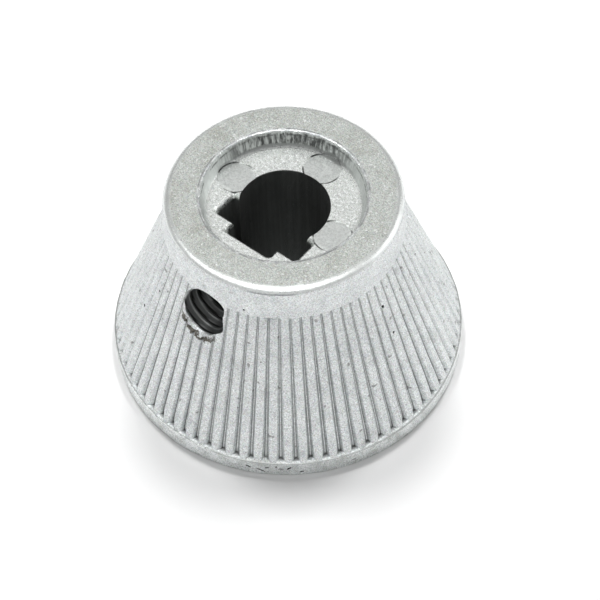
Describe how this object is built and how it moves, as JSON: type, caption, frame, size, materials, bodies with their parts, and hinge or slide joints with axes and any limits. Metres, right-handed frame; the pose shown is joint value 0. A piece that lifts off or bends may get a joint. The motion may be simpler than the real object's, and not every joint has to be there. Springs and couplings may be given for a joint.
{
  "type": "switch knob",
  "caption": "Fluted cone-shaped knob cast in one piece, with a keyed blind shaft bore in its hub end and a tapped side hole for a set screw.",
  "frame": {"origin": "centre of the wide front face, on the shaft axis; the knob stands on this face", "axes": "+Z along the shaft axis from the wide face towards the hub end, out of the bore's mouth; -Y towards the set screw hole"},
  "size_m": [0.025, 0.025, 0.0153],
  "materials": {
    "cast_metal": "satin as-cast light metal, slightly speckled"
  },
  "bodies": {
    "root": {"knob_body": "cast_metal"}
  },
  "joints": []
}
